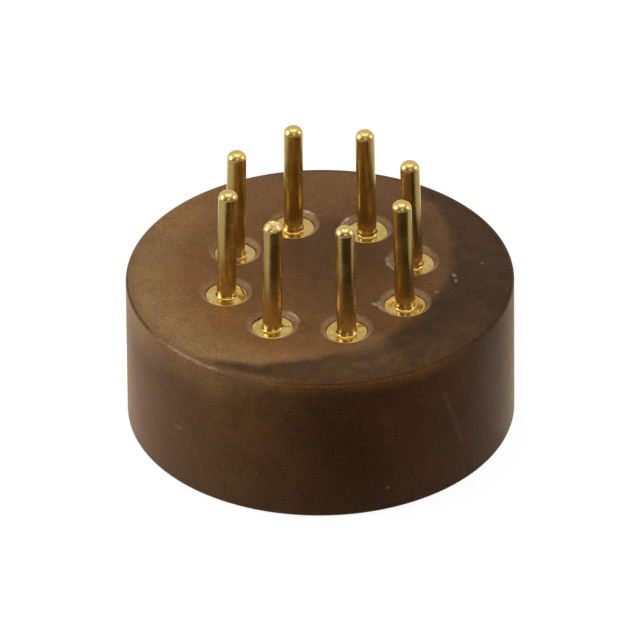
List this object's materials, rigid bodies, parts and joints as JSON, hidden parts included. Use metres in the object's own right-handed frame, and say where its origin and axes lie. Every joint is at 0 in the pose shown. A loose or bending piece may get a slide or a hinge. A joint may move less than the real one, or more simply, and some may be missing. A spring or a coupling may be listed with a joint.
{
  "type": "transistor socket",
  "caption": "Round insulator with a circle of gold-plated turned terminals: spring contacts for the leads of a metal-can transistor on one side, straight solder tails on the other.",
  "frame": {"origin": "centre of the seating face, where the package stands and on which the part rests", "axes": "+Z from the seating face to the solder tails, +X through terminal_1"},
  "size_m": [0.0102, 0.0102, 0.0073],
  "materials": {
    "insulator": "satin brown plastic with a fine mottle",
    "terminal": "turned and polished, gold plated",
    "clip": "stamped spring metal, gold plated"
  },
  "bodies": {
    "root": {"body": "insulator", "terminal_1": "terminal", "terminal_2": "terminal", "terminal_3": "terminal", "terminal_4": "terminal", "terminal_5": "terminal", "terminal_6": "terminal", "terminal_7": "terminal", "terminal_8": "terminal", "contact_clip_1": "clip", "contact_clip_2": "clip", "contact_clip_3": "clip", "contact_clip_4": "clip", "contact_clip_5": "clip", "contact_clip_6": "clip", "contact_clip_7": "clip", "contact_clip_8": "clip"}
  },
  "joints": []
}
